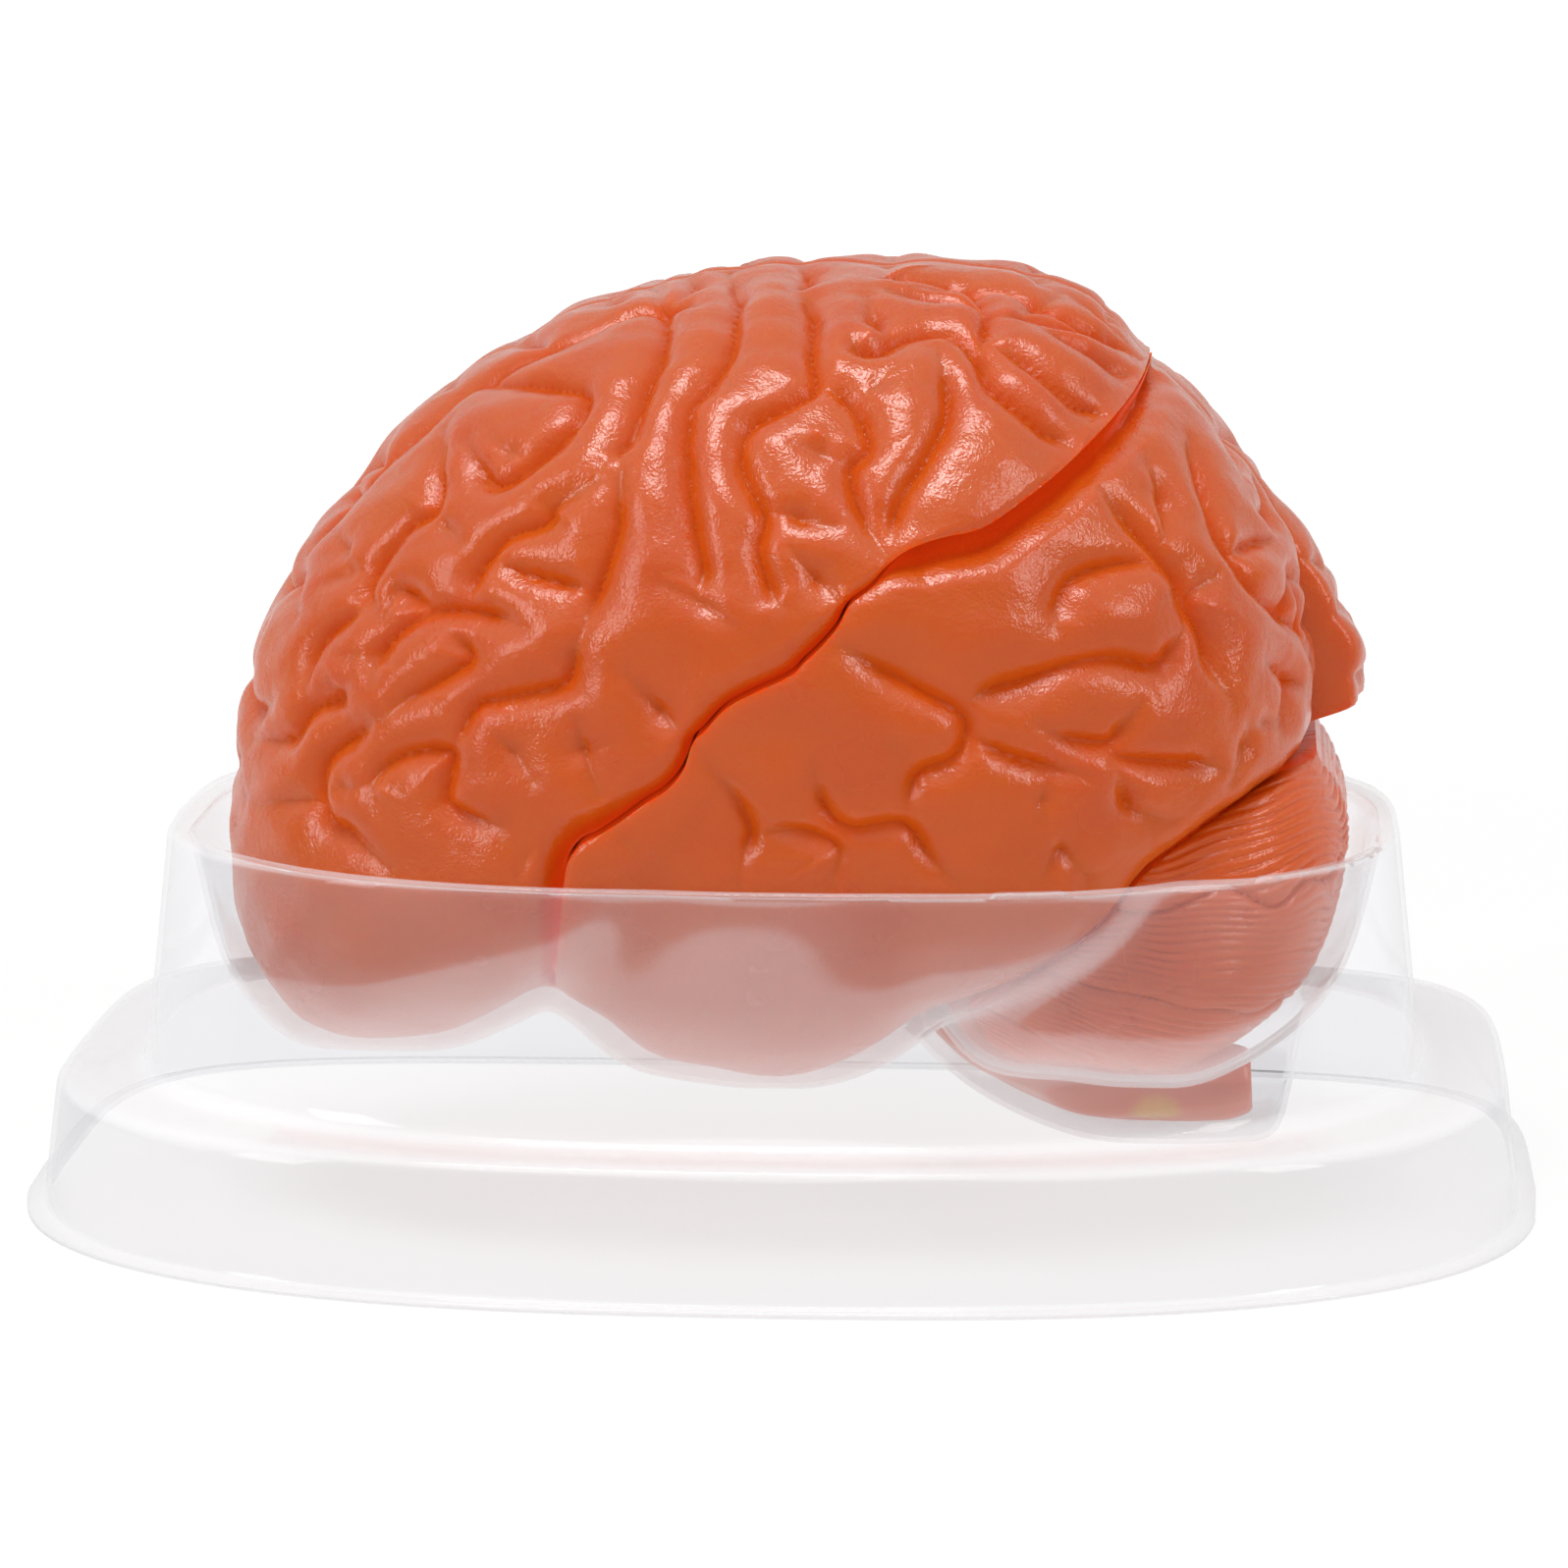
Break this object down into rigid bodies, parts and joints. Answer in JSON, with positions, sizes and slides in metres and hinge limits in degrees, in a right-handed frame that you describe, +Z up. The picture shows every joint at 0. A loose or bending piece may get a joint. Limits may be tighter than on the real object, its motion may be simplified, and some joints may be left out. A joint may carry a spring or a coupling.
{
  "type": "anatomical brain model",
  "caption": "Life-size take-apart human brain model in soft orange plastic, standing in a clear formed display tray with a pocket for its underside.",
  "frame": {"origin": "centre of the stand's footprint, on the floor", "axes": "+X from the frontal pole to the occipital pole, -Y to the left hemisphere that the picture shows, +Z up"},
  "size_m": [0.2328, 0.169, 0.1444],
  "materials": {
    "cortex_plastic": "soft moulded plastic, translucent orange, waxy gloss",
    "cerebellum_plastic": "the same soft plastic with fine grooves, a little darker",
    "stem_plastic": "the same soft plastic, paler, hand painted spots",
    "clear_sheet": "clear formed plastic sheet, gloss",
    "pin_steel": "plain steel pin",
    "magnet_metal": "plated disc magnet"
  },
  "bodies": {
    "stand_and_stem": {"tray": "clear_sheet", "brainstem_left": "stem_plastic", "brainstem_right": "stem_plastic", "brainstem_dowel": "pin_steel", "cerebellum_left": "cerebellum_plastic", "cerebellum_right": "cerebellum_plastic", "cerebellum_pin_left": "pin_steel", "cerebellum_pin_right": "pin_steel", "cerebellum_magnet_left": "magnet_metal", "cerebellum_magnet_right": "magnet_metal"},
    "lower_left": {"temporo_occipital_left": "cortex_plastic", "seam_pins_left": "pin_steel", "temporo_occipital_magnets_left": "magnet_metal"},
    "lower_right": {"temporo_occipital_right": "cortex_plastic", "seam_pins_right": "pin_steel", "temporo_occipital_magnets_right": "magnet_metal"},
    "upper_left": {"frontoparietal_left": "cortex_plastic", "frontoparietal_magnets_left": "magnet_metal"},
    "upper_right": {"frontoparietal_right": "cortex_plastic", "frontoparietal_magnets_right": "magnet_metal"}
  },
  "joints": [
    {"name": "lower_left_lift", "type": "slide", "parent": "stand_and_stem", "child": "lower_left", "axis": [0, 0, 1], "range_m": [0, 0.07]},
    {"name": "lower_right_lift", "type": "slide", "parent": "stand_and_stem", "child": "lower_right", "axis": [0, 0, 1], "range_m": [0, 0.07]},
    {"name": "upper_left_lift", "type": "slide", "parent": "lower_left", "child": "upper_left", "axis": [0, 0, 1], "range_m": [0, 0.09]},
    {"name": "upper_right_lift", "type": "slide", "parent": "lower_right", "child": "upper_right", "axis": [0, 0, 1], "range_m": [0, 0.09]}
  ]
}
